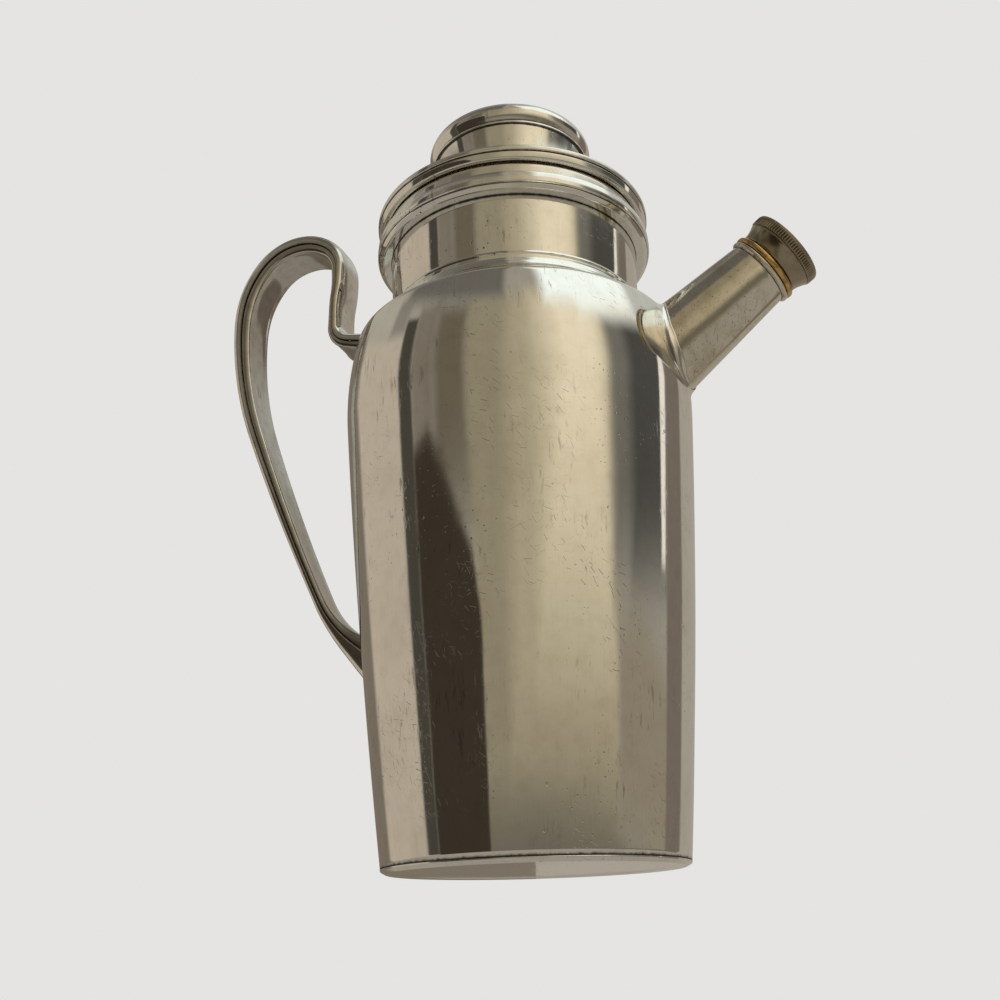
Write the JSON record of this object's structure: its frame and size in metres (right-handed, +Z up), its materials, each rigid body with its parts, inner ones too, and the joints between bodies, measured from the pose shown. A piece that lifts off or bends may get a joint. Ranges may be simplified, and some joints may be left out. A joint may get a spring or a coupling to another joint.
{
  "type": "cocktail shaker",
  "caption": "Tall silver-plated cocktail shaker with a strainer spout, milled screw cap, hollow C-shaped handle and lift-off lid with a drum knob.",
  "frame": {"origin": "centre of the flat underside that the shaker stands on", "axes": "+Z up along the body's axis, +X toward the spout, handle toward -X"},
  "size_m": [0.2177, 0.1172, 0.26],
  "materials": {
    "silver_plate": "polished silver plate over brass, aged, with fine scratches and grey tarnish",
    "worn_lining": "dull plated inner surface",
    "bare_brass": "brass worn through its plating",
    "browned_nickel": "browned nickel plate with a milled rim",
    "cork": "pressed cork"
  },
  "bodies": {
    "vessel": {"body_shell": "silver_plate", "base_pan": "silver_plate", "base_flange": "worn_lining", "neck": "silver_plate", "neck_rim": "silver_plate", "neck_liner": "worn_lining", "strainer": "worn_lining", "spout_tube": "silver_plate", "spout_saddle": "silver_plate", "spout_nozzle": "bare_brass", "handle_back": "silver_plate", "handle_face": "silver_plate", "handle_upper_joint": "silver_plate", "handle_lower_joint": "silver_plate"},
    "lid": {"lid_crown": "silver_plate", "lid_plate": "silver_plate", "lid_plug": "worn_lining", "lid_gasket": "cork", "knob_drum": "silver_plate", "knob_top": "silver_plate"},
    "cap_seal": {"cap_washer": "cork"},
    "spout_cap": {"cap_shell": "browned_nickel", "cap_insert": "bare_brass"}
  },
  "joints": [
    {"name": "lid_lift", "type": "slide", "parent": "vessel", "child": "lid", "axis": [0, 0, 1], "range_m": [0, 0.06]},
    {"name": "cap_travel", "type": "slide", "parent": "vessel", "child": "cap_seal", "axis": [0.8121, 0, 0.5835], "range_m": [0, 0.00661]},
    {"name": "cap_turn", "type": "hinge", "parent": "cap_seal", "child": "spout_cap", "pos_m": [0.0515, 0, 0.1608], "axis": [0.8121, 0, 0.5835], "range_deg": [0, 1080]}
  ],
  "couplings": [
    {"joint": "cap_travel", "follows": "cap_turn", "m_per_rad": 0.00035014}
  ]
}
